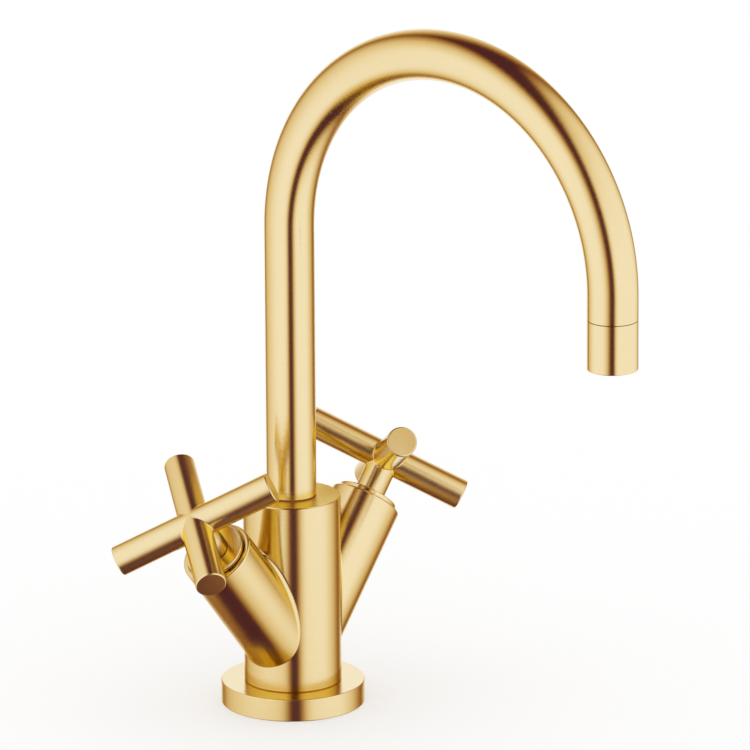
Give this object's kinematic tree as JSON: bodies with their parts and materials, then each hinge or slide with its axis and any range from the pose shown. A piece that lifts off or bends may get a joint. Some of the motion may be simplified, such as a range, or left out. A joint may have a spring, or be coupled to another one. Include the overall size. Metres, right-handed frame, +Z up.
{
  "type": "bathroom mixer faucet",
  "caption": "Single-hole basin mixer in satin gold brass: round column on a flange, swivelling swan-neck spout with aerator, and leaning hot and cold valves with cross handles.",
  "frame": {"origin": "centre of the underside, at the mouth of the fixing stud's hole, on the column's axis", "axes": "+Z up from the deck, -Y the way the spout points at rest, +X to the cold side"},
  "size_m": [0.1652, 0.203, 0.2905],
  "materials": {
    "satin_gold": "fine brushed satin",
    "turned_brass": "as turned",
    "rubber": "matt",
    "bearing_plastic": "matt",
    "aerator_plastic": "moulded",
    "valve_ceramic": "lapped",
    "steel": "plain"
  },
  "bodies": {
    "mixer": {"base_flange": "satin_gold", "base_gasket": "rubber", "mixer_body": "satin_gold", "spout_bush": "bearing_plastic", "spout_glide_ring": "bearing_plastic", "spout_lock_screw": "steel", "hot_barrel": "satin_gold", "hot_seat_seal": "rubber", "hot_fixed_disc": "valve_ceramic", "hot_thrust_washer": "bearing_plastic", "hot_headpart": "turned_brass", "hot_headpart_o_ring": "rubber", "hot_bonnet_cap": "satin_gold", "cold_barrel": "satin_gold", "cold_seat_seal": "rubber", "cold_fixed_disc": "valve_ceramic", "cold_thrust_washer": "bearing_plastic", "cold_headpart": "turned_brass", "cold_headpart_o_ring": "rubber", "cold_bonnet_cap": "satin_gold"},
    "spout": {"spout_tube": "satin_gold", "spout_spigot": "turned_brass", "spout_o_rings": "rubber", "aerator_sleeve": "satin_gold", "aerator_insert": "aerator_plastic", "aerator_seal": "rubber"},
    "hot_tap": {"hot_turning_disc": "valve_ceramic", "hot_spindle": "turned_brass", "hot_spindle_o_ring": "rubber", "hot_spindle_clip": "steel", "hot_handle": "satin_gold", "hot_grub_screw": "steel"},
    "cold_tap": {"cold_turning_disc": "valve_ceramic", "cold_spindle": "turned_brass", "cold_spindle_o_ring": "rubber", "cold_spindle_clip": "steel", "cold_handle": "satin_gold", "cold_grub_screw": "steel"}
  },
  "joints": [
    {"name": "spout_swivel", "type": "hinge", "parent": "mixer", "child": "spout", "pos_m": [0, 0, 0.0865], "axis": [0, 0, 1], "range_deg": [-60, 60]},
    {"name": "hot_handle_turn", "type": "hinge", "parent": "mixer", "child": "hot_tap", "pos_m": [-0.05888, 0, 0.08817], "axis": [-0.6428, 0, 0.766], "range_deg": [0, 90]},
    {"name": "cold_handle_turn", "type": "hinge", "parent": "mixer", "child": "cold_tap", "pos_m": [0.05888, 0, 0.08817], "axis": [0.6428, 0, 0.766], "range_deg": [-90, 0]}
  ]
}
